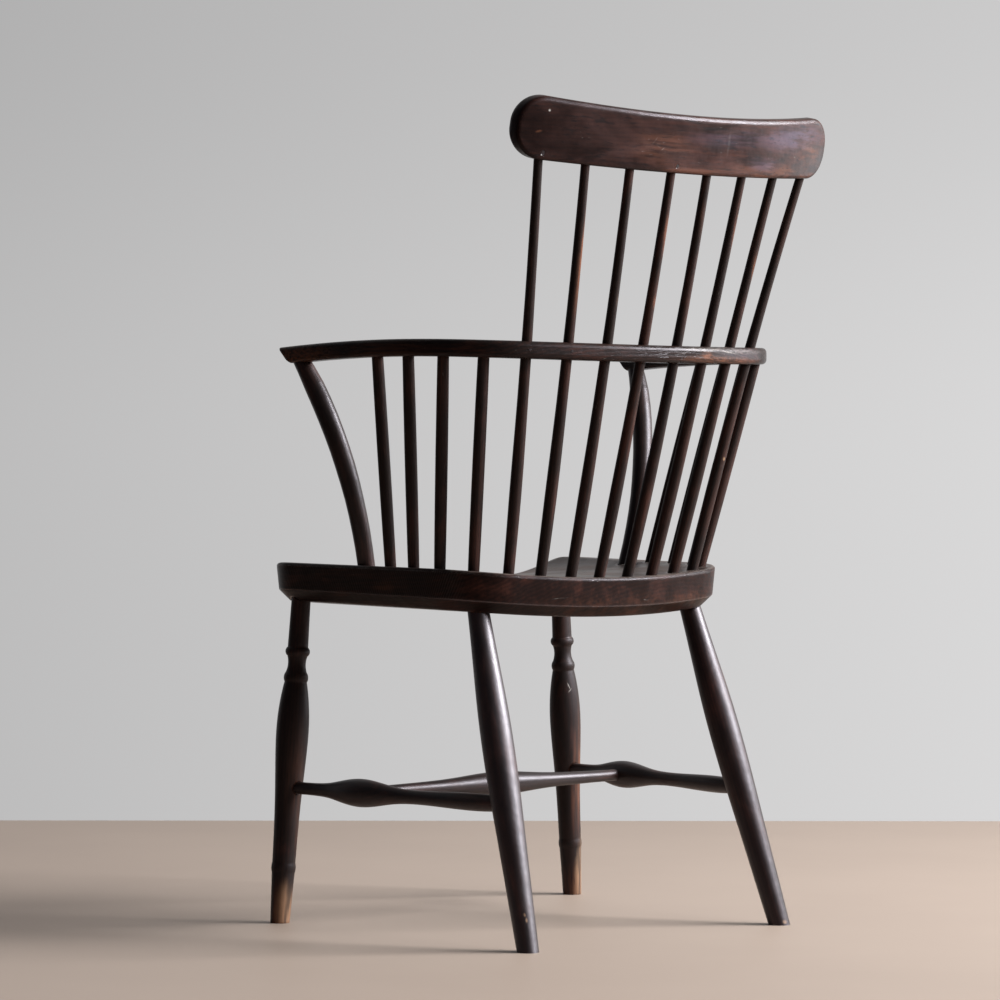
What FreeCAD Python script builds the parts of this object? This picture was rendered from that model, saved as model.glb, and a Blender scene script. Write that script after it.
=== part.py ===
import FreeCAD
import Part
import math
import os

# Comb back windsor chair, one solid per piece. Millimetres, +Z up, the sitter faces -Y, left is +X.
V = FreeCAD.Vector
ACROSS = V(1, 0, 0)
UP = V(0, 0, 1)
SIDES = {"left": 1, "right": -1}

# Fits between glued pieces
GLUE = 0.1
SOCKET_END = 0.3
SLACK = 60.0
TOUCH = 0.01

# Seat plank
SEAT_TOP = 429.5
SEAT_THICK = 46.5
SEAT_TOP_RADIUS = 2000.0
SEAT_LOW_RADIUS = 2200.0
SEAT_TOP_SLOPE = -0.003
SEAT_LOW_SLOPE = -0.011
SEAT_DRAFT = 0.1
SEAT_CHAMFER = 13.0
SEAT_ARRIS = 3.5

# Seat edge at the rim: back arc, corner arc, straight side, front corner arc
SEAT_BACK = 149.5
SEAT_BACK_RADIUS = 618.0
SEAT_BACK_TURN = math.radians(14.6)
SEAT_CORNER_RADIUS = 93.0
SEAT_SIDE_TURN = math.radians(86.0)
SEAT_SIDE_RUN = 240.0
SEAT_FRONT_RADIUS = 60.0

# Hollow for the sitter in the front of the seat, deepest at the front edge
DISH_FRONT = 413.0
DISH_SLOPE = 0.058
DISH_FLAT = 180.0
DISH_SIDE_RADIUS = 110.0
DISH_SIDE_TURN = math.radians(50.0)

# Line of stick holes in the seat: back arc, corner arc, straight side
RING_MARGIN = 18.0
RING_BACK = SEAT_BACK - RING_MARGIN
RING_BACK_RADIUS = SEAT_BACK_RADIUS - RING_MARGIN
RING_BACK_TURN = math.radians(13.7)
RING_CORNER_RADIUS = 95.0
RING_SIDE_TURN = math.radians(89.0)
RING_SIDE_RUN = 130.0
RING_FIRST = 23.2
RING_LONG_PITCH = 43.4
RING_SHORT_PITCH = 42.2
RING_SUPPORT_AT = 367.0

# Arm bow: back arc, corner arc, easing arc, straight arm; arched a little when seen from the side
ARM_LOW = 692.0
ARM_CROWN = 30.0
ARM_CROWN_RADIUS = 2800.0
ARM_BACK = 210.3
ARM_BACK_RADIUS = 520.0
ARM_BACK_TURN = math.radians(21.0)
ARM_CORNER_RADIUS = 107.0
ARM_CORNER_TURN = math.radians(70.0)
ARM_EASE_RADIUS = 350.0
ARM_SIDE_TURN = math.radians(86.0)
ARM_RUN = 169.0
ARM_WIDE = 25.0
ARM_THICK = 20.5
ARM_ROUND = 6.0
ARM_UNDERCUT = 20.0
ARM_STATIONS = 10
ARM_FIRST = 27.5
ARM_LONG_PITCH = 52.9
ARM_SHORT_PITCH = 50.4
ARM_SUPPORT_AT = 520.0

# Comb board
COMB_LOW = 908.0
COMB_TALL = 68.8
COMB_THICK = 17.6
COMB_RADIUS = 823.0
COMB_BACK = 263.0
COMB_LEAN = 11.3
COMB_HALF = 252.0
COMB_END = 34.0
COMB_LOW_RADIUS = 12400.0
COMB_TOP_RADIUS = 3350.0
COMB_ROUND = 4.0
COMB_FIRST = 29.4
COMB_PITCH = 62.8

# Sticks and supports: radius by share of the length between the seat and the far end
LONG_STICKS = 8
SHORT_STICKS = 4
LONG_RADII = ((0.0, 6.7), (0.2, 7.3), (0.5, 6.4), (0.75, 5.7), (1.0, 5.3))
SHORT_RADII = ((0.0, 6.7), (0.4, 7.4), (1.0, 6.8))
SUPPORT_RADII = ((0.0, 10.6), (0.25, 11.2), (0.5, 12.2), (0.75, 12.6), (0.92, 12.1), (1.0, 9.6))
SUPPORT_BOW = 19.5
SUPPORT_BOW_AT = 0.58
SUPPORT_HEAD_IN = 1.6
STICK_IN_SEAT = 20.0
STICK_IN_ARM = 13.0
SUPPORT_IN_ARM = 10.0
STICK_IN_COMB = 20.0
STICK_AHEAD = 1.0
STICK_STATIONS = 15

# Legs: distance up the leg and radius
FOOT_HALF_FRONT = 244.0
FOOT_HALF_REAR = 207.0
FOOT_AHEAD = 209.0
FRONT_LEAN = V(-0.07, 0.017, 1.0)
REAR_LEAN = V(-0.084, -0.322, 1.0)
LEG_IN_SEAT = 22.0
FRONT_FOOT = ((-25.0, 11.2), (0.0, 12.0), (40.0, 13.3), (62.0, 14.2))
FRONT_ANKLE = ((74.0, 14.3), (100.0, 14.7), (150.0, 16.2), (200.0, 18.9), (243.0, 20.0),
               (275.0, 17.6), (297.0, 13.9))
FRONT_NECK = ((309.0, 13.0), (320.0, 11.0), (329.0, 12.4))
FRONT_TOP = ((340.0, 12.7), (370.0, 12.2), (470.0, 11.6))
FRONT_BEAD = 15.2
REAR_RADII = ((-25.0, 12.0), (0.0, 12.9), (110.0, 16.0), (190.0, 18.4), (280.0, 18.6),
              (350.0, 15.6), (405.0, 13.2), (480.0, 12.4))

# Stretchers: radius by share of the length
STRETCHER_Z = 166.5
STRETCHER_IN_LEG = 14.0
STRETCHER_IN_BULB = 12.0
BULB_AT = 0.345
SIDE_RADII = ((0.0, 7.5), (0.13, 7.9), (0.19, 9.4), (0.27, 14.6), (BULB_AT, 17.2), (0.42, 14.6),
              (0.5, 10.4), (0.6, 8.6), (1.0, 7.8))
CROSS_RADII = ((0.0, 7.4), (0.18, 8.0), (0.33, 10.4), (0.5, 14.8), (0.67, 10.4), (0.82, 8.0), (1.0, 7.4))

# Small pegs and pins
PEG_RADIUS = 2.2
PEG_LONG = 13.0
PEG_PROUD = 0.3
PEG_UP = 9.0
PEG_STICKS = (1, 4)
PIN_RADIUS = 1.6
PIN_LONG = 11.0
PIN_STICKS = (1, 2)

# Half of each plan line as rows of radius and turn, or of nought and a straight run
EDGE = ((SEAT_BACK_RADIUS, SEAT_BACK_TURN), (SEAT_CORNER_RADIUS, SEAT_SIDE_TURN - SEAT_BACK_TURN),
        (0.0, SEAT_SIDE_RUN), (SEAT_FRONT_RADIUS, math.pi - SEAT_SIDE_TURN))
RING = ((RING_BACK_RADIUS, RING_BACK_TURN), (RING_CORNER_RADIUS, RING_SIDE_TURN - RING_BACK_TURN),
        (0.0, RING_SIDE_RUN))
ARM = ((ARM_BACK_RADIUS, ARM_BACK_TURN), (ARM_CORNER_RADIUS, ARM_CORNER_TURN - ARM_BACK_TURN),
       (ARM_EASE_RADIUS, ARM_SIDE_TURN - ARM_CORNER_TURN), (0.0, ARM_RUN))
COMB = ((COMB_RADIUS, COMB_HALF / COMB_RADIUS),)

# Place of the leaning comb, whose own frame has its origin in the middle of its underside
COMB_AT = FreeCAD.Placement(V(0, COMB_BACK, COMB_LOW), FreeCAD.Rotation(ACROSS, -COMB_LEAN))


def piece_length(piece):
    radius, amount = piece
    return radius * amount if radius else amount


def along(line, back, run, offset=0.0):
    """Plan point at a distance from the middle of the back along half of a line, moved outwards by offset."""
    x, y, turn = 0.0, back, 0.0
    for piece in line:
        radius = piece[0]
        step = min(run, piece_length(piece))
        if radius:
            after = turn + step / radius
            x += radius * (math.sin(after) - math.sin(turn))
            y += radius * (math.cos(after) - math.cos(turn))
            turn = after
        else:
            x += step * math.cos(turn)
            y -= step * math.sin(turn)
        run -= step
        if run <= 0:
            break
    return V(x + offset * math.sin(turn), y + offset * math.cos(turn), 0)


def mirrored(point, side):
    return V(point.x * side, point.y, point.z)


def seat_top(x, y):
    return SEAT_TOP + SEAT_TOP_SLOPE * y + x * x / (2 * SEAT_TOP_RADIUS)


def arm_low(y):
    return ARM_LOW - (y - ARM_CROWN) ** 2 / (2 * ARM_CROWN_RADIUS)


def comb_low(x):
    return x * x / (2 * COMB_LOW_RADIUS)


def comb_top(x):
    return COMB_TALL + x * x / (2 * COMB_TOP_RADIUS)


def smooth(table, share):
    """Value of a table of (place, value) rows at a share, eased between the rows."""
    for (a, low), (b, high) in zip(table, table[1:]):
        if share <= b:
            step = max(0.0, (share - a) / (b - a))
            return low + (high - low) * step * step * (3 - 2 * step)
    return table[-1][1]


def rod_rings(points, radii, before, after, extra=0.0):
    """Centres, headings and radii along a rod bent gently through three points and carried past both ends."""
    first, middle, last = points
    bend = (middle - first).Length / ((middle - first).Length + (last - middle).Length)
    long = (last - first).Length

    def centre(t):
        a = (t - bend) * (t - 1) / bend
        b = t * (t - 1) / (bend * (bend - 1))
        c = t * (t - bend) / (1 - bend)
        return first * a + middle * b + last * c

    start = -before / long
    end = 1 + after / long
    nudge = 1 / long
    rings = []
    for i in range(STICK_STATIONS):
        t = start + (end - start) * i / (STICK_STATIONS - 1)
        heading = centre(t + nudge) - centre(t - nudge)
        radius = smooth(radii, min(max(t, 0.0), 1.0)) + extra
        rings.append((centre(t), heading, radius))
    return rings


def bent_rod(rings):
    return Part.makeLoft([Part.Wire(Part.Circle(*ring).toShape()) for ring in rings], True, True)


def end_socket(tip, inner):
    """Round socket for the end of a bent rod, from its last ring to the one before."""
    run = inner[0] - tip[0]
    start = tip[0] - run * (SOCKET_END / run.Length)
    radius = max(tip[2], inner[2]) + GLUE
    return Part.makeCylinder(radius, run.Length + SOCKET_END, start, run)


def stick_points(number):
    """Seat, arm and comb points of a stick counted from the middle of the back outwards."""
    back = min(number, LONG_STICKS // 2 - 1)
    side = number - back
    foot = along(RING, RING_BACK, RING_FIRST + RING_LONG_PITCH * back + RING_SHORT_PITCH * side)
    arm = along(ARM, ARM_BACK, ARM_FIRST + ARM_LONG_PITCH * back + ARM_SHORT_PITCH * side)
    comb = along(COMB, 0.0, COMB_FIRST + COMB_PITCH * number, -STICK_AHEAD)
    foot.z = seat_top(foot.x, foot.y)
    arm.z = arm_low(arm.y) + ARM_THICK / 2
    comb.z = comb_low(comb.x)
    return foot, arm, COMB_AT.multVec(comb)


def long_rings(number, side, extra=0.0):
    points = [mirrored(p, side) for p in stick_points(number)]
    return rod_rings(points, LONG_RADII, STICK_IN_SEAT, STICK_IN_COMB, extra)


def short_stick(number, side, extra=0.0, end=0.0):
    foot, arm, _ = [mirrored(p, side) for p in stick_points(LONG_STICKS // 2 + number)]
    head = foot + (arm - foot) * ((arm.z - ARM_THICK / 2 - foot.z) / (arm.z - foot.z))
    start, finish = trimmed(foot, head, -STICK_IN_SEAT, -STICK_IN_ARM)
    return turned_rod(start, finish, SHORT_RADII, extra, end)


def support_rings(side, extra=0.0, end=0.0):
    foot = along(RING, RING_BACK, RING_SUPPORT_AT)
    foot.z = seat_top(foot.x, foot.y)
    head = along(ARM, ARM_BACK, ARM_SUPPORT_AT, -SUPPORT_HEAD_IN)
    head.z = arm_low(head.y)
    middle = foot + (head - foot) * SUPPORT_BOW_AT + V(0, SUPPORT_BOW, 0)
    points = [mirrored(p, side) for p in (foot, middle, head)]
    return rod_rings(points, SUPPORT_RADII, STICK_IN_SEAT, SUPPORT_IN_ARM + end, extra)


def spline(points):
    curve = Part.BSplineCurve()
    curve.interpolate(points)
    return curve.toShape()


def spin(edges, low, high):
    """Solid of revolution about Z from outline edges that run from a low height to a high one."""
    start = edges[0].valueAt(edges[0].FirstParameter)
    finish = edges[-1].valueAt(edges[-1].LastParameter)
    face = Part.Face(Part.Wire(edges + joined([finish, UP * high, UP * low, start])))
    return face.revolve(V(0, 0, 0), UP, 360)


def outline_points(table, extra):
    return [V(radius + extra, 0, height) for height, radius in table]


def bead(low, high, extra):
    middle = V(FRONT_BEAD + extra, 0, (low.z + high.z) / 2)
    return Part.Arc(low, middle, high).toShape()


def front_leg_blank(extra=0.0):
    runs = [outline_points(t, extra) for t in (FRONT_FOOT, FRONT_ANKLE, FRONT_NECK, FRONT_TOP)]
    edges = []
    for i, points in enumerate(runs):
        if i:
            edges.append(bead(runs[i - 1][-1], points[0], extra))
        edges.append(spline(points))
    return spin(edges, runs[0][0].z, runs[-1][-1].z)


def rear_leg_blank(extra=0.0):
    points = outline_points(REAR_RADII, extra)
    return spin([spline(points)], points[0].z, points[-1].z)


def leg_foot(front, side):
    half = FOOT_HALF_FRONT if front else FOOT_HALF_REAR
    return V(side * half, -FOOT_AHEAD if front else FOOT_AHEAD, 0)


def leg_heading(front, side):
    return mirrored(FRONT_LEAN if front else REAR_LEAN, side)


def leg_at(front, side, z):
    return leg_foot(front, side) + leg_heading(front, side) * z


def seat_low(x, y):
    return SEAT_TOP - SEAT_THICK + SEAT_LOW_SLOPE * y + x * x / (2 * SEAT_LOW_RADIUS)


def leg_tip(front, side, end):
    """Height on the leg's own axis where its top ends inside the seat."""
    place = leg_at(front, side, SEAT_TOP - SEAT_THICK)
    return (seat_low(place.x, place.y) + LEG_IN_SEAT) * leg_heading(front, side).Length + end


def leg(front, side, extra=0.0, end=0.0):
    blank = front_leg_blank(extra) if front else rear_leg_blank(extra)
    top = leg_tip(front, side, end)
    blank = blank.cut(Part.makeBox(SLACK, SLACK, SEAT_TOP, V(-SLACK / 2, -SLACK / 2, top)))
    turn = FreeCAD.Rotation(UP, leg_heading(front, side))
    blank.Placement = FreeCAD.Placement(leg_foot(front, side), turn)
    below = Part.makeBox(2 * SLACK, 2 * SLACK, SLACK, leg_foot(front, side) - V(SLACK, SLACK, SLACK))
    return blank.cut(below)


def turned_rod(start, finish, radii, extra=0.0, end=0.0):
    """Turned rod between two points; radii are given by share of the length."""
    heading = finish - start
    long = heading.Length
    points = [V(radius + extra, 0, share * long) for share, radius in radii]
    points[0].z -= end
    points[-1].z += end
    rod = spin([spline(points)], points[0].z, points[-1].z)
    rod.Placement = FreeCAD.Placement(start, FreeCAD.Rotation(UP, heading))
    return rod


def side_stretcher_ends(side):
    return leg_at(True, side, STRETCHER_Z), leg_at(False, side, STRETCHER_Z)


def trimmed(start, finish, before, after):
    step = (finish - start).normalize()
    return start + step * before, finish - step * after


def side_stretcher(side, extra=0.0, end=0.0):
    front, rear = side_stretcher_ends(side)
    leg_radius = smooth(FRONT_ANKLE, STRETCHER_Z)
    inset = leg_radius - STRETCHER_IN_LEG
    start, finish = trimmed(front, rear, inset, inset)
    return turned_rod(start, finish, SIDE_RADII, extra, end)


def bulb_centre(side):
    front, rear = side_stretcher_ends(side)
    return front + (rear - front) * BULB_AT


def cross_stretcher(extra=0.0, end=0.0):
    bulb = smooth(SIDE_RADII, BULB_AT)
    inset = bulb - STRETCHER_IN_BULB
    start, finish = trimmed(bulb_centre(-1), bulb_centre(1), inset, inset)
    return turned_rod(start, finish, CROSS_RADII, extra, end)


def half_edges(line, back, offset, side):
    """Edges of one half of a plan line, moved outwards by offset."""
    edges, run = [], 0.0
    for piece in line:
        long = piece_length(piece)
        a, m, b = [mirrored(along(line, back, run + long * share, offset), side) for share in (0, 0.5, 1)]
        edges.append((Part.Arc(a, m, b) if piece[0] else Part.LineSegment(a, b)).toShape())
        run += long
    return edges


def line_end(line, back, offset):
    return along(line, back, sum(piece_length(p) for p in line), offset)


def joined(points):
    return [Part.LineSegment(a, b).toShape() for a, b in zip(points, points[1:])]


def seat_outline(offset, z):
    """Closed outline of the seat at a height, moved outwards from the edge at the rim."""
    end = line_end(EDGE, SEAT_BACK, offset)
    edges = joined([end, mirrored(end, -1)])
    for side in SIDES.values():
        edges += half_edges(EDGE, SEAT_BACK, offset, side)
    wire = Part.Wire(Part.__sortEdges__(edges))
    wire.translate(UP * z)
    return wire


def hollow_tool(radius, slope, z, upwards):
    """Room above or below a seat face that is curved across and sloped along the seat."""
    half = FOOT_HALF_FRONT + SLACK
    reach = FOOT_AHEAD + 2 * SLACK
    away = UP * (2 * SLACK if upwards else -2 * SLACK)
    middle = V(0, reach, z + slope * reach)
    side = V(half, 0, half * half / (2 * radius))
    right, left = middle + side, middle + mirrored(side, -1)
    edges = [Part.Arc(left, middle, right).toShape()] + joined([right, right + away, left + away, left])
    return Part.Face(Part.Wire(edges)).extrude(V(0, -2 * reach, -slope * 2 * reach))


def dish_tool():
    """Room above the sitter's hollow: nearly flat across, turned up at both sides, rising to the back."""
    front = line_end(EDGE, SEAT_BACK, 0.0).y
    lean = math.asin(DISH_FLAT / SEAT_TOP_RADIUS)
    edge = V(DISH_FLAT, 0, SEAT_TOP_RADIUS * (1 - math.cos(lean)))
    hub = edge + V(-math.sin(lean), 0, math.cos(lean)) * DISH_SIDE_RADIUS
    turns = [lean, (lean + DISH_SIDE_TURN) / 2, DISH_SIDE_TURN]
    arc = [hub + V(math.sin(t), 0, -math.cos(t)) * DISH_SIDE_RADIUS for t in turns]
    away = UP * SLACK
    left = [mirrored(p, -1) for p in arc]
    edges = [Part.Arc(*a).toShape() for a in ((left[0], V(0, 0, 0), arc[0]), arc, left)]
    edges += joined([arc[2], arc[2] + away, left[2] + away, left[2]])
    face = Part.Face(Part.Wire(Part.__sortEdges__(edges)))
    face.translate(V(0, front - SLACK, DISH_FRONT - DISH_SLOPE * SLACK))
    long = FOOT_AHEAD + FOOT_HALF_FRONT
    return face.extrude(V(0, long, DISH_SLOPE * long))


def rim_edges(solid, wall, split, upper):
    """Edges where the wall meets the top or the underside."""
    found = []
    for edge in solid.Edges:
        middle = edge.valueAt((edge.FirstParameter + edge.LastParameter) / 2)
        ends = [v.Point.z for v in edge.Vertexes]
        upright = max(ends) - min(ends) > SEAT_THICK / 2
        on_wall = min(f.distToShape(Part.Vertex(middle))[0] for f in wall) < TOUCH
        if on_wall and not upright and (middle.z > split) == upper:
            found.append(edge)
    return found


def seat_blank():
    low, high = SEAT_TOP - 1.5 * SEAT_THICK, SEAT_TOP + SEAT_THICK
    rim = seat_top(FOOT_HALF_REAR, 0)
    outlines = [seat_outline(SEAT_DRAFT * (z - rim), z) for z in (low, high)]
    blank = Part.makeLoft(outlines, True, True)
    wall = [f for f in blank.Faces if abs(f.BoundBox.ZLength - (high - low)) < 1]
    blank = blank.cut(hollow_tool(SEAT_TOP_RADIUS, SEAT_TOP_SLOPE, SEAT_TOP, True))
    blank = blank.cut(hollow_tool(SEAT_LOW_RADIUS, SEAT_LOW_SLOPE, SEAT_TOP - SEAT_THICK, False))
    split = SEAT_TOP - SEAT_THICK / 3
    blank = blank.makeFillet(SEAT_ARRIS, rim_edges(blank, wall, split, True))
    blank = blank.makeChamfer(SEAT_CHAMFER, rim_edges(blank, wall, split, False))
    return blank.cut(dish_tool())


def rounded_section(wide, tall, radius):
    """Rounded rectangle across the Y axis, about the origin."""
    box = Part.makeBox(wide, wide, tall, V(-wide / 2, 0, -tall / 2))
    soft = box.makeFillet(radius, [e for e in box.Edges if e.BoundBox.YLength > wide / 2])
    return [f for f in soft.Faces if f.BoundBox.YMax < TOUCH][0].OuterWire


def arm_spine():
    """Points along the middle of the bow from the right tip round the back to the left tip."""
    long = sum(piece_length(p) for p in ARM)
    half = [along(ARM, ARM_BACK, long * i / ARM_STATIONS) for i in range(ARM_STATIONS + 1)]
    for point in half:
        point.z = arm_low(point.y) + ARM_THICK / 2
    return [mirrored(p, -1) for p in reversed(half)] + half[1:]


def arm_blank():
    points = arm_spine()
    section = rounded_section(ARM_WIDE, ARM_THICK, ARM_ROUND)
    heading = points[1] - points[0]
    section.Placement = FreeCAD.Placement(points[0], FreeCAD.Rotation(V(0, 1, 0), V(heading.x, heading.y, 0)))
    sweep = Part.BRepOffsetAPI.MakePipeShell(Part.Wire(spline(points)))
    sweep.setBiNormalMode(UP)
    sweep.add(section)
    sweep.build()
    sweep.makeSolid()
    bow = sweep.shape()
    tip, wide = points[0].y, FOOT_HALF_FRONT + SLACK
    low, high = arm_low(tip), arm_low(tip) + ARM_THICK
    slope = V(0, ARM_UNDERCUT, low - high)
    top, foot = V(-wide, tip, high) - slope, V(-wide, tip, high) + slope * 2
    corners = [top, foot, foot - V(0, 2 * SLACK, 0), top - V(0, 2 * SLACK, 0)]
    wedge = Part.Face(Part.makePolygon(corners + corners[:1])).extrude(ACROSS * 2 * wide)
    return bow.cut(wedge)


def comb_blank():
    """Curved leaning board with rounded ends and softened edges, made upright and then leaned."""
    half = COMB_THICK / 2
    reach = COMB_HALF + SLACK
    line = ((COMB_RADIUS, reach / COMB_RADIUS),)
    out = [along(line, 0.0, reach * share, half) for share in (0, 1)]
    inn = [along(line, 0.0, reach * share, -half) for share in (0, 1)]
    far_out, far_in = mirrored(out[1], -1), mirrored(inn[1], -1)
    edges = [Part.Arc(far_out, out[0], out[1]).toShape(), Part.LineSegment(out[1], inn[1]).toShape(),
             Part.Arc(inn[1], inn[0], far_in).toShape(), Part.LineSegment(far_in, far_out).toShape()]
    face = Part.Face(Part.Wire(edges))
    face.translate(UP * -SLACK)
    board = face.extrude(UP * (COMB_TALL + 3 * SLACK))
    low, high = UP * comb_low(COMB_HALF), UP * comb_top(COMB_HALF)
    back, deep = 2 * SLACK, 5 * SLACK
    left, right, middle = V(-COMB_HALF, back, 0), V(COMB_HALF, back, 0), V(0, back, 0)
    edges = [Part.Arc(left + low, middle, right + low).toShape(),
             Part.LineSegment(right + low, right + high).toShape(),
             Part.Arc(right + high, middle + UP * COMB_TALL, left + high).toShape(),
             Part.LineSegment(left + high, left + low).toShape()]
    shape = Part.Face(Part.Wire(edges)).extrude(V(0, -deep, 0))
    corners = [e for e in shape.Edges if e.BoundBox.YLength > deep / 2]
    comb = board.common(shape.makeFillet(COMB_END, corners))
    faces = sorted(comb.Faces, key=lambda f: f.Area)[-2:]
    comb = comb.makeFillet(COMB_ROUND, faces[0].Edges + faces[1].Edges)
    comb.Placement = COMB_AT
    return comb


def peg(number):
    """Peg through the back of the comb into a stick."""
    run = COMB_FIRST + COMB_PITCH * (LONG_STICKS // 2 - number)
    place = along(COMB, 0.0, run, COMB_THICK / 2 + PEG_PROUD)
    place.z = comb_low(place.x) + PEG_UP
    inwards = V(-place.x, -math.sqrt(COMB_RADIUS ** 2 - place.x ** 2), 0)
    return COMB_AT.multVec(place), COMB_AT.Rotation.multVec(inwards), PEG_RADIUS, PEG_LONG


def pin(number):
    """Pin through the back of the arm bow into a stick."""
    _, arm, _ = stick_points(LONG_STICKS // 2 - number)
    face = V(arm.x / ARM_BACK_RADIUS, 1, 0).normalize()
    return arm + face * (ARM_WIDE / 2 + PEG_PROUD), face * -1, PIN_RADIUS, PIN_LONG


def plug(place, extra=0.0, end=0.0):
    start, heading, radius, long = place
    return Part.makeCylinder(radius + extra, long + end, start, heading)


def build():
    nodes = {}
    pegs = [peg(n) for n in PEG_STICKS]
    pins = [pin(n) for n in PIN_STICKS]
    plug_holes = [plug(p, GLUE, SOCKET_END) for p in pegs + pins]
    seat_holes, arm_holes, comb_holes = [], [], []
    half = LONG_STICKS // 2
    for i in range(LONG_STICKS):
        side = 1 if i < half else -1
        number = half - 1 - i if i < half else i - half
        rings = long_rings(number, side)
        nodes["long_stick_%d" % (i + 1)] = bent_rod(rings).cut(plug_holes)
        seat_holes.append(end_socket(rings[0], rings[1]))
        comb_holes.append(end_socket(rings[-1], rings[-2]))
        arm_holes.append(bent_rod(long_rings(number, side, GLUE)))
    for name, side in SIDES.items():
        for number in range(SHORT_STICKS):
            nodes["short_stick_%s_%d" % (name, SHORT_STICKS - number)] = short_stick(number, side)
            hole = short_stick(number, side, GLUE, SOCKET_END)
            seat_holes.append(hole)
            arm_holes.append(hole)
        rings = support_rings(side)
        nodes["arm_support_" + name] = bent_rod(rings)
        seat_holes.append(end_socket(rings[0], rings[1]))
        arm_holes.append(bent_rod(support_rings(side, GLUE, SOCKET_END)))
        mortise = side_stretcher(side, GLUE, SOCKET_END)
        for place, front in (("front", True), ("rear", False)):
            nodes["%s_leg_%s" % (place, name)] = leg(front, side).cut(mortise)
            seat_holes.append(leg(front, side, GLUE, SOCKET_END))
        nodes["side_stretcher_" + name] = side_stretcher(side).cut(cross_stretcher(GLUE, SOCKET_END))
    nodes["cross_stretcher"] = cross_stretcher()
    nodes["seat"] = seat_blank().cut(seat_holes)
    nodes["arm_bow"] = arm_blank().cut(arm_holes + plug_holes)
    nodes["comb"] = comb_blank().cut(comb_holes + plug_holes)
    nodes["comb_pegs"] = Part.makeCompound([plug(p) for p in pegs])
    nodes["arm_pins"] = Part.makeCompound([plug(p) for p in pins])
    return nodes


def centred(nodes):
    """Moves all pieces together so that the box round them is centred over the origin."""
    box = FreeCAD.BoundBox()
    for shape in nodes.values():
        box.add(shape.optimalBoundingBox())
    for shape in nodes.values():
        shape.translate(V(-box.Center.x, -box.Center.y, 0))
    return nodes


os.makedirs("parts", exist_ok=True)
for name, shape in centred(build()).items():
    shape.exportStep("parts/%s.step" % name)
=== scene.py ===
import math
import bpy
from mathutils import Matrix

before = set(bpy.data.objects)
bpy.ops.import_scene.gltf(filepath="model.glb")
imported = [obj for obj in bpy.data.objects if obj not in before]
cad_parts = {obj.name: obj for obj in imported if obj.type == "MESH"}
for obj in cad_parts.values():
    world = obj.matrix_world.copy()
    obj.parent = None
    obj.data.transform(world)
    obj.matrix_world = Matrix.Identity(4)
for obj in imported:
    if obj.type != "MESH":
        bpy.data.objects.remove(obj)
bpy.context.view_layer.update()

import zlib

import bpy
import numpy as np
from mathutils import Euler, Vector

# Looks of a dark stained comb back windsor chair: old waxed wood, rubbed through on its edges and feet.
# Metres, +Z up, the sitter faces -Y and +X is the sitter's left, as in the frame.

# Camera, behind the chair on the sitter's left
CAMERA_AT = Vector((3.1938, 3.5397, 0.5625))
CAMERA_HEADING = math.radians(138.659)
CAMERA_TILT = math.radians(-0.496)
CAMERA_ROLL = math.radians(-0.047)
CAMERA_LENS = 139.517
CAMERA_SENSOR = 36.0
AHEAD = Vector((-math.sin(CAMERA_HEADING), math.cos(CAMERA_HEADING), 0))
RIGHT = Vector((math.cos(CAMERA_HEADING), math.sin(CAMERA_HEADING), 0))

# Floor, a little cloudy, and dim where the camera doesn't see it
FLOOR_BEHIND = 1.38
FLOOR_BEFORE = 9.0
FLOOR_WIDE = 16.0
FLOOR_COLOUR = (0.350, 0.272, 0.222, 1)
FLOOR_DARKER = (0.26, 0.200, 0.162, 1)
FLOOR_CLOUDS = 2.5
FLOOR_CLOUD_SHARE = 0.15
FLOOR_DIM = (0.055, 0.045, 0.038, 1)
FLOOR_DIM_FROM, FLOOR_DIM_TO = 0.85, 1.5
FLOOR_ROUGH = 0.55
FLOOR_GLOSS = 0.35

# Wall beyond the chair, and the dim room on the camera's side
WALL_COLOUR = (1.0, 0.993, 0.995, 1)
WALL_LEFT, WALL_RIGHT = 0.51, 0.69
WALL_EDGE = 0.13
WALL_TOP_SHARE = 0.86
WALL_TURN = 0.35
WALL_IN = (-0.35, 0.65)
BLACK = (0, 0, 0, 1)
ROOM_COLOUR = (0.052, 0.051, 0.058, 1)

# Windows to the camera's right: turn from the camera's side, distance, sill height, size and power
WINDOWS = {
    "main": (math.radians(90), 3.2, 1.35, (1.9, 1.7), 440.0),
    "near": (math.radians(56), 3.4, 1.40, (1.3, 1.2), 40.0),
    "far": (math.radians(116), 3.2, 0.40, (1.2, 1.3), 20.0),
}
WINDOW_COLOUR = (0.96, 0.98, 1.0)

# Tones of the wood, from the stain down to bare wood, then dust, the seat's worn top, a painted bluish
# sheen and the wax
# The black stain also serves as painted shade
STAIN_BLACK_AND_SHADE = (0.0060, 0.0031, 0.0026, 1)
STAIN_BROWN = (0.0140, 0.0054, 0.0038, 1)
STAIN_RED = (0.054, 0.0172, 0.0108, 1)
RUBBED = (0.16, 0.060, 0.030, 1)
BARE = (0.44, 0.27, 0.160, 1)
PALE = (0.52, 0.48, 0.44, 1)
# Dust, also laid thinly over all as a painted lift of light on shaded sides
DUST = (0.34, 0.32, 0.30, 1)
SAT_ON = (0.085, 0.060, 0.046, 1)
# Painted reflection: a bluish sheen
PAINTED_BLUE_SHEEN = (0.088, 0.078, 0.122, 1)
SHEEN = (1.0, 0.91, 1.0, 1)

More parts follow.
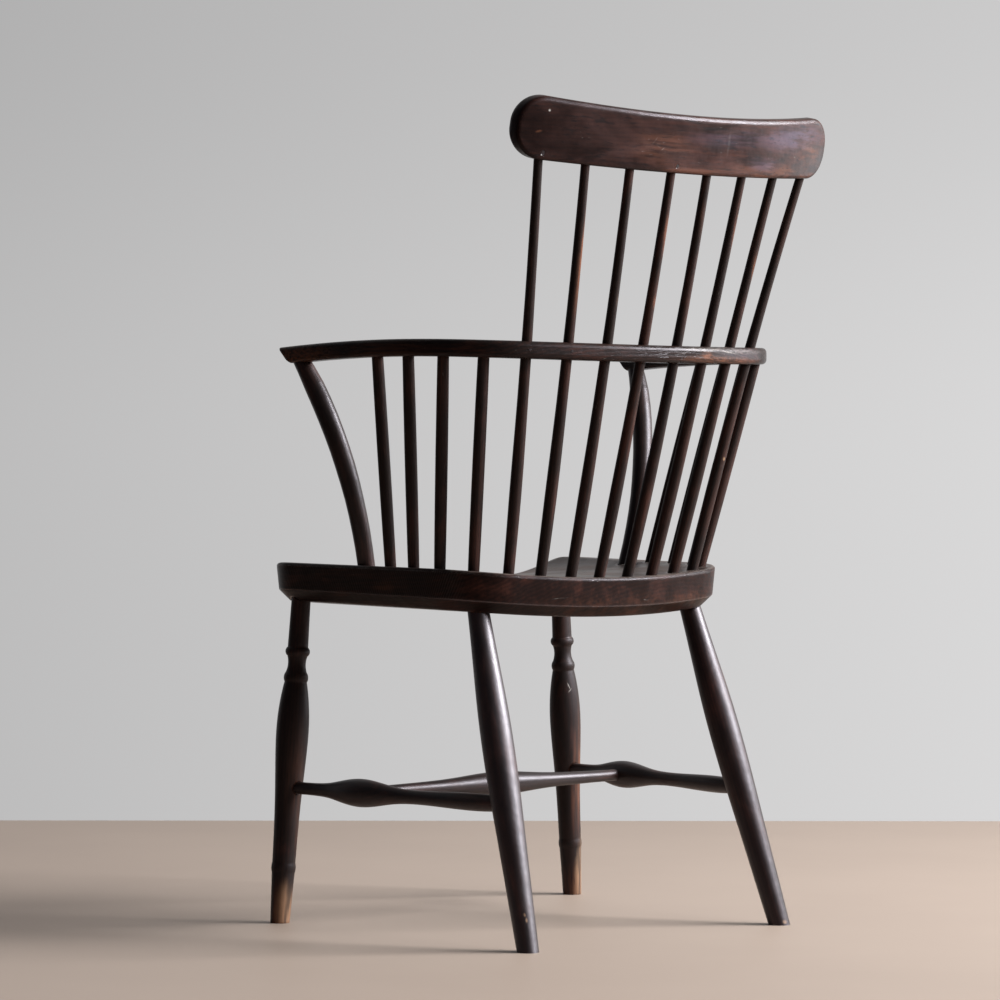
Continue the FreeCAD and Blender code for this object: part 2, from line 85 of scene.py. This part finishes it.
# What a look says, with the values that most pieces share
PLAIN = {
    "ring": 0.003,  # width of a growth ring
    "pith": (0.012, 0.006),  # shift of the middle of the rings, across the grain
    "banding": 0.8,  # contrast of the rings
    "streak": 120.0,  # fineness of the streaks
    "flecks": 0.3,  # strength of dark flecks
    "red": 0.45,  # share of red, thin stain
    "veil": 0.02,  # share of dust over all, also a painted lift of light on the shaded sides
    "round": 0.0,  # radius of rounded edges
    "edge": 0.45,  # strength of rubbing on rounded edges
    "worn_arris_and_highlight": 0.0,  # strength of the pale broken line on edges that face up: worn arris, and a painted highlight
    "polish": 0.0,  # more gloss on rounded edges
    "scuffs": 0.0,  # strength of pale scuffs
    "sat_on": 0.0,  # strength of wear on the top
    "sawn": 0.0,  # strength of saw lines on the sides
    "relief": 0.10,  # strength of the grain's relief
    "dents": 0.2,  # strength of soft dents
    "rough": 0.30,  # roughness of the wax
    "gloss": 0.5,  # strength of its sheen
    "coat": 0.0,  # strength of a clear layer over it
}
PLUG = {"red": 0.05, "rough": 0.6, "gloss": 0.2}
LEG = {"ring": 0.004, "pith": (0.01, 0.006)}
REAR_LEG = {**LEG, "red": 0.60, "veil": 0.0, "relief": 0.12, "dents": 0.35}

# Look of each kind of piece; a piece takes its own, or the first whose name is part of its own
LOOKS = {
    "peg": PLUG,
    "pin": PLUG,
    "seat": {"ring": 0.005, "pith": (0.12, -0.15), "banding": 0.5, "red": 0.62, "veil": 0.005,
             "round": 0.0055, "edge": 0.8, "worn_arris_and_highlight": 1.0, "polish": 0.9, "scuffs": 0.10, "sat_on": 0.8,
             "sawn": 0.5, "relief": 0.25, "dents": 0.35, "rough": 0.34, "gloss": 0.10},
    "arm_bow": {"ring": 0.004, "pith": (-0.2, -0.6), "streak": 380.0, "flecks": 1.0, "red": 0.55,
                "veil": 0.018, "scuffs": 0.45, "relief": 0.55, "gloss": 0.13},
    "comb": {"ring": 0.005, "pith": (0.08, -0.3), "banding": 0.3, "flecks": 0.8, "red": 0.88, "veil": 0.0,
             "round": 0.0022, "edge": 0.8, "polish": 0.5, "scuffs": 0.16, "relief": 0.15, "dents": 0.3,
             "rough": 0.34, "gloss": 0.175},
    "front_leg": {**LEG, "red": 0.50, "round": 0.003, "rough": 0.46, "gloss": 0.20, "coat": 0.02},
    "rear_leg_right": {**REAR_LEG, "rough": 0.41, "gloss": 0.44, "coat": 0.07},
    "leg": {**REAR_LEG, "rough": 0.45, "gloss": 0.60, "coat": 0.14},
    "cross_stretcher": {"red": 0.65, "relief": 0.05, "rough": 0.42, "gloss": 0.38, "coat": 0.08},
    "stretcher": {"red": 0.55, "relief": 0.05, "rough": 0.42, "gloss": 0.36, "coat": 0.07},
    "support": {"red": 0.65, "veil": 0.025, "relief": 0.05, "rough": 0.38, "gloss": 0.30, "coat": 0.05},
    "stick": {"flecks": 0.6, "red": 0.70, "veil": 0.032, "scuffs": 0.15, "relief": 0.08, "rough": 0.50,
              "gloss": 0.10},
}

# Noises laid along the grain: fineness, stretch along the grain, detail, roughness and warp
FIBRE = (1300.0, 0.02, 3.0, 0.6, 0.0)
PORES = (800.0, 0.035, 2.0, 0.55, 0.0)
FLECKS = (240.0, 0.10, 2.0, 0.55, 0.0)
BLOTCH = (24.0, 0.45, 4.0, 0.6, 0.6)
# Streaks take their fineness from the look
STREAK = (0.06, 3.0, 0.6, 0.0)
# Noises that don't follow the grain: fineness, detail and, where given, roughness
WEAR = (38.0, 4.0, 0.65)
BROKEN = (95.0, 4.0, 0.7)
SCUFF_LINES = (420.0, 2.0)
SCUFF_PLACES = (20.0, 2.0)
DENTS = (42.0, 2.0)
# Values of each noise at which its layer starts to show and shows in full
PORES_IN = (0.60, 0.72)
FLECKS_IN = (0.58, 0.70)
WEAR_IN = (0.42, 0.66)
BROKEN_IN = (0.36, 0.54)
SCUFF_LINES_IN = (0.68, 0.80)
SCUFF_PLACES_IN = (0.48, 0.62)
MARKS_IN = (0.38, 0.60)
SAT_ON_IN = (0.34, 0.60)
NOISE_MIDDLE = (0.3, 0.7)

# Growth rings: waves to a ring's width, stretch along the grain, waviness and a piece's own shift
RING_WAVES = 0.31
RING_STRETCH = 0.12
RING_WAVY = {"Distortion": 4.5, "Detail": 3.0, "Detail Scale": 1.2}
RING_SHIFT = 0.01
SEED_STEPS = 997
# Grain runs front to back in the seat, along the comb, and round the arm bow at this radius
GRAIN_TURNS = {"seat": Euler((math.radians(90), 0, 0)), "comb": Euler((0, math.radians(90), 0))}
BOW_RADIUS = 0.25

# Stain: shares of blotch and streak, where it turns red and how far a redder look brings that down,
# and how the rings carry the brown and the red
THIN_SHARES = (0.75, 0.45)
THIN_START, THIN_START_FALL = 0.82, 0.45
THIN_FULL, THIN_FULL_FALL = 1.05, 0.30
RINGS_BROWN = (0.15, 0.9, 0.15, 0.85)
RINGS_RED = (0.0, 1.0, 0.55, 1.0)
PORE_DARK = 0.7

# Edges: cosine of the bend at which rubbing and polish start and are full, and how far an edge faces up
EDGE_SAMPLES = 8
RUB_IN = (0.985, 0.86)
POLISH_IN = (0.995, 0.93)
UPWARD_IN = (0.08, 0.26)
# Above its stick sockets the comb is solid, and its top edge is rubbed rounder
COMB_SOLID = (0.942, 0.950)
COMB_TOP_ROUND = 0.008

# Scuffs lie askew to the grain
SCUFF_TURN = (0.7, 0.4, 0)
SCUFF_STRETCH = 0.2

# Saw lines on the seat's sides: slant, waves, how far a face looks sideways, and share of dust
SAW_SLANT = math.radians(24)
SAW_WAVES = {"Scale": 110.0, "Distortion": 1.6, "Detail": 2.0}
SAW_SIDES_IN = (0.75, 0.95)
SAW_DUST = 0.12

# Worn seat top: how far a face looks up, shares of blotch and streak, least share, roughness and gloss
TOP_IN = (0.5, 0.95)
SAT_SHARES = (0.5, 0.5)
SAT_LEAST = 0.1
SAT_ROUGHER = 0.12
SAT_GLOSS = 0.5

# Relief: shares of rings and fibre, depth of pores, and real depth of the grain and of dents
RELIEF_SHARES = (0.25, 0.35)
PORE_DEPTH = 0.5
GRAIN_DEPTH = 0.0004
DENT_DEPTH = 0.0016

# Wax: how its roughness varies
ROUGH_LESS, ROUGH_MORE = 0.05, 0.08
EDGE_SMOOTHER = 0.16
WORN_ROUGHER = 0.08
COAT_ROUGH = 0.28

# Marks on single pieces, mostly of use, with some painted shade and painted sheen: tone, centre, half
# sizes, strength and turn
UPRIGHT = (0, 0, 0)
LEAN = (-0.25, 0.07, 0)
MARKS = {
    "comb": [
        # Painted shade: the comb's left end darkened, on its side away from the windows
        (STAIN_BLACK_AND_SHADE, (0.215, 0.240, 0.945), (0.190, 0.10, 0.090), 0.65, UPRIGHT),
        (RUBBED, (-0.150, 0.245, 0.916), (0.130, 0.05, 0.016), 0.30, UPRIGHT),
        (RUBBED, (-0.215, 0.236, 0.946), (0.035, 0.04, 0.020), 0.30, UPRIGHT),
        (RUBBED, (0.055, 0.262, 0.936), (0.060, 0.03, 0.026), 0.28, UPRIGHT),
        (RUBBED, (0.005, 0.259, 0.912), (0.080, 0.03, 0.008), 0.25, UPRIGHT),
        (RUBBED, (0.2265, 0.2333, 0.9467), (0.006, 0.01, 0.0020), 0.45, (0, 0.2, 0)),
        (STAIN_BLACK_AND_SHADE, (-0.030, 0.263, 0.940), (0.030, 0.03, 0.012), 0.7, UPRIGHT),
        # Painted reflection: bluish sheen of the windows on the comb's right
        (PAINTED_BLUE_SHEEN, (-0.175, 0.245, 0.960), (0.090, 0.05, 0.022), 0.40, (0, 0.12, 0)),
        (PAINTED_BLUE_SHEEN, (-0.060, 0.258, 0.953), (0.110, 0.05, 0.016), 0.18, (0, 0.05, 0)),
        (PAINTED_BLUE_SHEEN, (-0.120, 0.250, 0.925), (0.040, 0.05, 0.012), 0.30, UPRIGHT),
        (PALE, (-0.050, 0.258, 0.950), (0.0030, 0.03, 0.026), 0.045, UPRIGHT),
        (PALE, (0.2164, 0.2409, 0.9709), (0.0022, 0.006, 0.0022), 1.0, UPRIGHT),
        (PALE, (0.2190, 0.2303, 0.9200), (0.0016, 0.006, 0.0012), 0.7, (0, -0.6, 0)),
        (PALE, (0.0693, 0.2615, 0.9423), (0.009, 0.006, 0.0006), 0.12, (0, 0.9, 0)),
        (PALE, (0.0557, 0.2608, 0.9338), (0.005, 0.006, 0.0006), 0.22, (0, 0.6, 0)),
        (PALE, (0.0640, 0.2612, 0.9370), (0.007, 0.006, 0.0005), 0.10, (0, -0.5, 0)),
    ],
    "arm_bow": [
        (RUBBED, (-0.075, 0.204, 0.6964), (0.016, 0.02, 0.006), 0.75, UPRIGHT),
        # Painted reflection: bluish sheen on the arm bow
        (PAINTED_BLUE_SHEEN, (-0.150, 0.187, 0.700), (0.080, 0.03, 0.014), 0.15, UPRIGHT),
        (RUBBED, (-0.110, 0.195, 0.6915), (0.130, 0.06, 0.0065), 0.55, UPRIGHT),
        (PALE, (-0.120, 0.195, 0.7035), (0.120, 0.06, 0.0055), 0.16, UPRIGHT),
        (RUBBED, (0.290, -0.130, 0.697), (0.04, 0.09, 0.016), 0.60, UPRIGHT),
        (RUBBED, (0.270, 0.020, 0.700), (0.04, 0.10, 0.016), 0.25, UPRIGHT),
        (PALE, (-0.060, 0.205, 0.7030), (0.050, 0.02, 0.0012), 0.30, UPRIGHT),
        (PALE, (-0.030, 0.208, 0.6980), (0.012, 0.01, 0.0006), 0.45, (0, 0.2, 0)),
        (PALE, (-0.120, 0.195, 0.7010), (0.030, 0.02, 0.0007), 0.35, (0, -0.1, 0)),
    ],
    "seat": [
        (STAIN_BLACK_AND_SHADE, (-0.100, 0.120, 0.4190), (0.14, 0.05, 0.016), 0.50, UPRIGHT),
        (RUBBED, (-0.135, 0.116, 0.4010), (0.07, 0.03, 0.011), 0.12, UPRIGHT),
        (RUBBED, (0.000, 0.127, 0.3920), (0.19, 0.04, 0.024), 0.10, UPRIGHT),
        (RUBBED, (0.2281, -0.0437, 0.4177), (0.02, 0.028, 0.012), 0.22, UPRIGHT),
        (STAIN_BLACK_AND_SHADE, (0.2326, -0.0933, 0.4275), (0.006, 0.0022, 0.0022), 1.0, UPRIGHT),
        (PALE, (0.0939, 0.1244, 0.4054), (0.014, 0.01, 0.0005), 0.3, (0, 0.06, 0)),
        (PALE, (-0.0421, 0.1298, 0.4013), (0.006, 0.01, 0.0006), 0.4, (0, -0.1, 0)),
    ],
    # Rubbed wear on the sticks' window side, partly a painted lit stripe along that side
    "long_stick_2": [
        (RUBBED, (0.1410, 0.2080, 0.800), (0.006, 0.014, 0.085), 0.9, LEAN),
    ],
    "long_stick_3": [
        (BARE, (0.0825, 0.2130, 0.757), (0.0015, 0.006, 0.011), 0.5, LEAN),
    ],
    "long_stick_4": [
        (RUBBED, (0.0265, 0.2370, 0.835), (0.005, 0.012, 0.034), 0.7, LEAN),
        (RUBBED, (0.0270, 0.2190, 0.757), (0.004, 0.008, 0.012), 0.8, LEAN),
    ],
    "long_stick_5": [
        (RUBBED, (-0.0295, 0.2410, 0.853), (0.005, 0.012, 0.040), 0.4, LEAN),
    ],
    "long_stick_6": [
        (RUBBED, (-0.0930, 0.2280, 0.823), (0.005, 0.012, 0.045), 0.7, LEAN),
        (BARE, (-0.0925, 0.2390, 0.863), (0.0020, 0.005, 0.003), 0.6, UPRIGHT),
    ],
    "long_stick_7": [
        (RUBBED, (-0.1440, 0.2130, 0.801), (0.004, 0.010, 0.030), 0.5, LEAN),
    ],
    "long_stick_8": [
        (BARE, (-0.1660, 0.1390, 0.572), (0.0025, 0.006, 0.003), 0.6, UPRIGHT),
    ],
    "front_leg_left": [
        (BARE, (0.2440, -0.2100, 0.010), (0.018, 0.018, 0.052), 0.95, UPRIGHT),
        (RUBBED, (0.2440, -0.2230, 0.000), (0.030, 0.030, 0.070), 0.6, UPRIGHT),
        (RUBBED, (0.2320, -0.2050, 0.160), (0.018, 0.020, 0.120), 0.30, UPRIGHT),
    ],
    "front_leg_right": [
        (BARE, (-0.2480, -0.2100, 0.020), (0.014, 0.016, 0.075), 0.85, UPRIGHT),
        (RUBBED, (-0.2440, -0.2230, 0.000), (0.030, 0.030, 0.060), 0.6, UPRIGHT),
        (RUBBED, (-0.2380, -0.2010, 0.160), (0.016, 0.016, 0.120), 0.75, UPRIGHT),
        (PALE, (-0.2188, -0.2024, 0.2756), (0.0008, 0.006, 0.006), 0.7, (0, 0.4, 0)),
        (PALE, (-0.2200, -0.2024, 0.2700), (0.0008, 0.006, 0.005), 0.7, (0, -0.7, 0)),
    ],
    "rear_leg_left": [
        (BARE, (0.2118, 0.1928, 0.0432), (0.002, 0.006, 0.003), 0.7, UPRIGHT),
        (BARE, (0.2105, 0.1950, 0.0370), (0.0015, 0.006, 0.004), 0.6, UPRIGHT),
    ],
    "rear_leg_right": [
        (BARE, (-0.2046, 0.2066, 0.0042), (0.004, 0.006, 0.0035), 0.8, UPRIGHT),
    ],
}
# A mark is full inside this share of its size, has this least share between streaks, and wavers at its rim
MARK_CORE = 0.2
MARK_LEAST = 0.2
WAVER = (0.0022, 0.0022, 0.0022)
WAVER_NOISE = {"Scale": 70.0, "Detail": 2.0}
NOISE_MEAN = (0.5, 0.5, 0.5)


class Nodes:
    """Short ways to add nodes to one tree; a value or a socket may feed any input."""

    def __init__(self, tree):
        self.tree = tree
        tree.nodes.clear()

    def add(self, kind, inputs=(), **settings):
        node = self.tree.nodes.new("ShaderNode" + kind)
        for key, value in settings.items():
            setattr(node, key, value)
        for key, value in dict(inputs).items():
            if isinstance(value, bpy.types.NodeSocket):
                self.tree.links.new(value, node.inputs[key])
            else:
                node.inputs[key].default_value = value
        return node

    def output(self, kind, shader):
        """The tree's end, fed by one shader."""
        self.tree.links.new(shader.outputs[0], self.add(kind).inputs[0])

    def maths(self, operation, *values):
        return self.add("Math", enumerate(values), operation=operation).outputs[0]

    def added(self, value, other, share):
        """A value with a share of another added."""
        return self.maths("MULTIPLY_ADD", other, share, value)

    def weighed(self, shares, a, b):
        """Two values added by their shares."""
        return self.added(self.maths("MULTIPLY", a, shares[0]), b, shares[1])

    def vector_maths(self, operation, *values):
        return self.add("VectorMath", enumerate(values), operation=operation).outputs

    def dot(self, a, b):
        return self.vector_maths("DOT_PRODUCT", a, b)["Value"]

    def length(self, vector):
        return self.vector_maths("LENGTH", vector)["Value"]

    def spread(self, value, low, high, to_low=0.0, to_high=1.0, ease="SMOOTHSTEP"):
        """A value carried from one range to another and held at both ends."""
        inputs = {0: value, 1: low, 2: high, 3: to_low, 4: to_high}
        return self.add("MapRange", inputs, interpolation_type=ease).outputs[0]

    def mix(self, share, low, high):
        """Two colours mixed; sockets 6 and 7 of the node, and output 2, are its colours."""
        return self.add("Mix", {0: share, 6: low, 7: high}, data_type="RGBA").outputs[2]

    def noise(self, place, scale, detail=3.0, rough=0.55, warp=0.0):
        inputs = {"Vector": place, "Scale": scale, "Detail": detail, "Roughness": rough, "Distortion": warp}
        return self.add("TexNoise", inputs).outputs["Fac"]

    def moved(self, place, location=(0, 0, 0), turn=(0, 0, 0), scale=(1, 1, 1)):
        inputs = {"Vector": place, "Location": location, "Rotation": turn, "Scale": scale}
        return self.add("Mapping", inputs).outputs["Vector"]

    def along(self, local, scale, stretch, detail, rough, warp):
        """Noise drawn out along the grain."""
        return self.noise(self.moved(local, scale=(1, 1, stretch)), scale, detail, rough, warp)

    def axes(self, vector):
        return self.add("SeparateXYZ", {0: vector}).outputs

    def vector(self, x, y, z):
        return self.add("CombineXYZ", {0: x, 1: y, 2: z}).outputs[0]

    def wavered(self, place):
        """The place shifted a little by noise, so that marks have uneven rims."""
        shift = self.add("TexNoise", {"Vector": place, **WAVER_NOISE}).outputs["Color"]
        shift = self.vector_maths("SUBTRACT", shift, NOISE_MEAN)[0]
        return self.vector_maths("MULTIPLY_ADD", shift, WAVER, place)[0]

    def ball(self, place, centre, size, turn):
        """One inside an ellipsoid, fading to nought at its skin."""
        inputs = {"Vector": place, "Location": centre, "Rotation": turn, "Scale": size}
        away = self.add("Mapping", inputs, vector_type="TEXTURE").outputs["Vector"]
        return self.spread(self.length(away), 1.0, MARK_CORE)


def seed(name):
    """A steady number from 0 to 1 for a name."""
    return (zlib.crc32(name.encode()) % SEED_STEPS) / SEED_STEPS


def rod_axis(node):
    """Turn that lays a rod's own long axis along Z."""
    points = np.array([v.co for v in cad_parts[node].data.vertices])
    _, _, axes = np.linalg.svd(points - points.mean(0), full_matrices=False)
    heading = Vector(axes[0])
    return heading.rotation_difference(Vector((0, 0, 1))).to_euler()


def bow_grain(s, place):
    """Grain that follows the bend of the arm bow: out, up and round."""
    x, y, z = s.axes(place)
    out = s.length(s.vector(x, y, 0.0))
    return s.vector(out, z, s.maths("MULTIPLY", s.maths("ARCTAN2", x, y), BOW_RADIUS))


def grain_of(node, s, place):
    """The place with the grain of a piece laid along Z."""
    if node == "arm_bow":
        return bow_grain(s, place)
    return s.moved(place, turn=GRAIN_TURNS[node] if node in GRAIN_TURNS else rod_axis(node))


def grain_layers(s, look, local):
    """Layers along the grain that the tone, the relief and the wax share."""
    inputs = {"Vector": s.moved(local, scale=(1, 1, RING_STRETCH)), "Scale": RING_WAVES / look["ring"]}
    rings = s.add("TexWave", {**inputs, **RING_WAVY}, wave_type="RINGS", rings_direction="Z").outputs["Fac"]
    half = look["banding"] / 2
    return {
        "rings": s.spread(rings, 0.0, 1.0, 0.5 - half, 0.5 + half),
        "fibre": s.along(local, *FIBRE),
        "pores": s.spread(s.along(local, *PORES), *PORES_IN),
        "blotch": s.along(local, *BLOTCH),
        "streak": s.along(local, look["streak"], *STREAK),
    }


def stain(s, look, local, grain):
    """Dark stain, redder where it is thin, with dark flecks and a veil of dust, which also paints a lift of
    light onto the shaded sides.
    """
    red = look["red"]
    thin = s.weighed(THIN_SHARES, grain["blotch"], grain["streak"])
    thin = s.spread(thin, THIN_START - THIN_START_FALL * red, THIN_FULL - THIN_FULL_FALL * red)
    thin = s.maths("MULTIPLY", thin, s.spread(grain["rings"], *RINGS_RED))
    colour = s.mix(s.spread(grain["rings"], *RINGS_BROWN), STAIN_BLACK_AND_SHADE, STAIN_BROWN)
    colour = s.mix(thin, colour, STAIN_RED)
    flecks = s.spread(s.along(local, *FLECKS), *FLECKS_IN, 0.0, look["flecks"])
    colour = s.mix(flecks, colour, STAIN_BLACK_AND_SHADE)
    # Dust over all, which also stands in for the light that lifts the shaded sides
    return s.mix(look["veil"], colour, DUST)


def rounded_normal(s, node, look, place):
    """Normal that rolls over the edges, on the comb more so above its stick sockets."""
    radius = look["round"]
    if node == "comb":
        radius = s.spread(s.axes(place)[2], *COMB_SOLID, radius, COMB_TOP_ROUND)
    return s.add("Bevel", {"Radius": radius}, samples=EDGE_SAMPLES).outputs[0]


def rub_edges(s, look, place, colour, rounded, bend):
    """Edges rubbed red, with a pale broken line where they face up, both worn arris and painted highlight;
    the tone and the worn share.
    """
    patchy = s.spread(s.noise(place, *WEAR), *WEAR_IN, 0.0, look["edge"])
    worn = s.maths("MULTIPLY", s.spread(bend, *RUB_IN), patchy)
    colour = s.mix(worn, colour, RUBBED)
    # Pale broken line on edges that face up: worn arris, and a painted highlight
    broken = s.spread(s.noise(place, *BROKEN), *BROKEN_IN, 0.0, look["worn_arris_and_highlight"])
    broken = s.maths("MULTIPLY", broken, s.spread(s.axes(rounded)[2], *UPWARD_IN))
    broken = s.maths("MULTIPLY", broken, s.spread(bend, *POLISH_IN))
    return s.mix(broken, colour, PALE), worn


def scuffed(s, look, place, local, colour):
    """Pale scuffs, in some places only."""
    askew = s.moved(local, turn=SCUFF_TURN, scale=(1, 1, SCUFF_STRETCH))
    lines = s.spread(s.noise(askew, *SCUFF_LINES), *SCUFF_LINES_IN, 0.0, look["scuffs"])
    places = s.spread(s.noise(place, *SCUFF_PLACES), *SCUFF_PLACES_IN)
    return s.mix(s.maths("MULTIPLY", lines, places), colour, PALE)


def marked(s, node, place, streak, colour, worn):
    """The piece's own marks, broken up by its streaks; the tone and the worn share."""
    uneven = s.wavered(place)
    for tone, centre, size, strength, turn in MARKS.get(node, ()):
        patchy = s.spread(streak, *MARKS_IN, MARK_LEAST * strength, strength)
        patch = s.maths("MULTIPLY", s.ball(uneven, centre, size, turn), patchy)
        colour = s.mix(patch, colour, tone)
        if tone in (RUBBED, BARE):
            worn = s.maths("MAXIMUM", worn, patch)
    return colour, worn


def sat_on(s, look, grain, top):
    """Share of wear on a seat's top."""
    share = s.weighed(SAT_SHARES, grain["blotch"], grain["streak"])
    share = s.spread(share, *SAT_ON_IN, SAT_LEAST * look["sat_on"], look["sat_on"])
    return s.maths("MULTIPLY", top, share)


def saw_lines(s, look, place, normal):
    """Fine slanting saw lines on the upright sides of a plank."""
    sides = s.spread(s.maths("ABSOLUTE", s.axes(normal)[0]), *SAW_SIDES_IN, 0.0, look["sawn"])
    inputs = {"Vector": s.moved(place, turn=(SAW_SLANT, 0, 0)), **SAW_WAVES}
    lines = s.add("TexWave", inputs, bands_direction="Y").outputs["Fac"]
    return s.maths("MULTIPLY", sides, lines)


def bump(s, strength, depth, height, normal):
    inputs = {"Strength": strength, "Distance": depth, "Height": height, "Normal": normal}
    return s.add("Bump", inputs).outputs[0]


def wood(node, look):
    """Old stained wood: growth rings, pores, blotched stain, rubbed edges, marks of use and wax sheen."""
    material = bpy.data.materials.new(node)
    material.use_nodes = True
    s = Nodes(material.node_tree)
    place = s.add("TexCoord").outputs["Object"]
    normal = s.add("NewGeometry").outputs["Normal"]
    own = seed(node)
    across, deep = look["pith"]
    local = s.moved(grain_of(node, s, place), (across + RING_SHIFT * own, deep, own))
    grain = grain_layers(s, look, local)

    colour = stain(s, look, local, grain)
    rough = s.spread(grain["blotch"], *NOISE_MIDDLE, look["rough"] - ROUGH_LESS, look["rough"] + ROUGH_MORE)
    gloss = look["gloss"]
    height = s.weighed(RELIEF_SHARES, grain["rings"], grain["fibre"])
    height = s.added(height, grain["pores"], -PORE_DEPTH)
    rounded, worn = normal, 0.0
    if look["round"]:
        rounded = rounded_normal(s, node, look, place)
        bend = s.dot(rounded, normal)
        colour, worn = rub_edges(s, look, place, colour, rounded, bend)
        edge = s.spread(bend, *POLISH_IN)
        rough = s.added(rough, edge, -EDGE_SMOOTHER)
        if look["polish"]:
            gloss = s.added(gloss, edge, look["polish"])
    colour = scuffed(s, look, place, local, colour)
    colour, worn = marked(s, node, place, grain["streak"], colour, worn)
    rough = s.added(rough, worn, WORN_ROUGHER)
    if look["sat_on"]:
        top = s.spread(s.axes(normal)[2], *TOP_IN)
        share = sat_on(s, look, grain, top)
        colour = s.mix(share, colour, SAT_ON)
        rough = s.added(rough, share, SAT_ROUGHER)
        gloss = s.added(gloss, top, SAT_GLOSS)
    colour = s.mix(s.maths("MULTIPLY", grain["pores"], PORE_DARK), colour, STAIN_BLACK_AND_SHADE)
    if look["sawn"]:
        lines = saw_lines(s, look, place, normal)
        colour = s.mix(s.maths("MULTIPLY", lines, SAW_DUST), colour, DUST)
        height = s.maths("ADD", height, lines)

    soft = bump(s, look["dents"], DENT_DEPTH, s.noise(place, *DENTS), rounded)
    fine = bump(s, look["relief"], GRAIN_DEPTH, height, soft)
    skin = s.add("BsdfPrincipled", {"Base Color": colour, "Roughness": rough, "Normal": fine,
                                    "Specular IOR Level": gloss, "Specular Tint": SHEEN,
                                    "Coat Weight": look["coat"], "Coat Roughness": COAT_ROUGH,
                                    "Coat Normal": soft})
    s.output("OutputMaterial", skin)
    return material


def dress_all():
    """Each CAD node gets the wood of its own kind."""
    for node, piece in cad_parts.items():
        kind = node if node in LOOKS else next(k for k in LOOKS if k in node)
        piece.data.materials.clear()
        piece.data.materials.append(wood(node, {**PLAIN, **LOOKS[kind]}))


def floor_paint():
    """Plain pale floor."""
    material = bpy.data.materials.new("floor")
    material.use_nodes = True
    s = Nodes(material.node_tree)
    place = s.add("TexCoord").outputs["Object"]
    clouds = s.spread(s.noise(place, FLOOR_CLOUDS), *NOISE_MIDDLE, 0.0, FLOOR_CLOUD_SHARE)
    shade = s.mix(clouds, FLOOR_COLOUR, FLOOR_DARKER)
    away = s.maths("MAXIMUM", s.dot(place, -AHEAD), s.dot(place, -RIGHT))
    shade = s.mix(s.spread(away, FLOOR_DIM_FROM, FLOOR_DIM_TO), shade, FLOOR_DIM)
    skin = s.add("BsdfPrincipled", {"Base Color": shade, "Roughness": FLOOR_ROUGH,
                                    "Specular IOR Level": FLOOR_GLOSS})
    s.output("OutputMaterial", skin)
    return material


def make_floor():
    half = RIGHT * FLOOR_WIDE / 2
    far, near = AHEAD * FLOOR_BEHIND, AHEAD * -FLOOR_BEFORE
    mesh = bpy.data.meshes.new("floor")
    mesh.from_pydata([near - half, near + half, far + half, far - half], [], [(0, 1, 2, 3)])
    mesh.materials.append(floor_paint())
    floor = bpy.data.objects.new("floor", mesh)
    bpy.context.scene.collection.objects.link(floor)


def make_world():
    """A pale wall beyond the chair, brighter to the right, and a dim room on the camera's side."""
    world = bpy.data.worlds.new("studio")
    bpy.context.scene.world = world
    world.use_nodes = True
    s = Nodes(world.node_tree)
    look = s.add("TexCoord").outputs["Generated"]
    level = s.spread(s.dot(look, RIGHT), -WALL_EDGE, WALL_EDGE, WALL_LEFT, WALL_RIGHT, "LINEAR")
    level = s.maths("MULTIPLY", level, s.spread(s.axes(look)[2], 0.0, WALL_EDGE, 1.0, WALL_TOP_SHARE))
    wall = s.mix(level, BLACK, WALL_COLOUR)
    beyond = s.spread(s.dot(look, AHEAD + RIGHT * WALL_TURN), *WALL_IN)
    s.output("OutputWorld", s.add("Background", {"Color": s.mix(beyond, ROOM_COLOUR, wall)}))


def make_windows():
    for name, (turn, away, sill, size, power) in WINDOWS.items():
        data = bpy.data.lights.new(name, "AREA")
        data.shape = "RECTANGLE"
        data.size, data.size_y = size
        data.energy = power
        data.color = WINDOW_COLOUR
        light = bpy.data.objects.new(name, data)
        bpy.context.scene.collection.objects.link(light)
        towards = RIGHT * math.sin(turn) - AHEAD * math.cos(turn)
        light.location = towards * away + Vector((0, 0, sill + size[1] / 2))
        light.rotation_euler = towards.to_track_quat("Z", "Y").to_euler()


def make_camera():
    data = bpy.data.cameras.new("camera")
    data.lens = CAMERA_LENS
    data.sensor_width = CAMERA_SENSOR
    camera = bpy.data.objects.new("camera", data)
    bpy.context.scene.collection.objects.link(camera)
    camera.location = CAMERA_AT
    camera.rotation_euler = (math.pi / 2 + CAMERA_TILT, CAMERA_ROLL, CAMERA_HEADING)
    bpy.context.scene.camera = camera


dress_all()
make_floor()
make_world()
make_windows()
make_camera()
bpy.context.scene.view_settings.view_transform = "Standard"
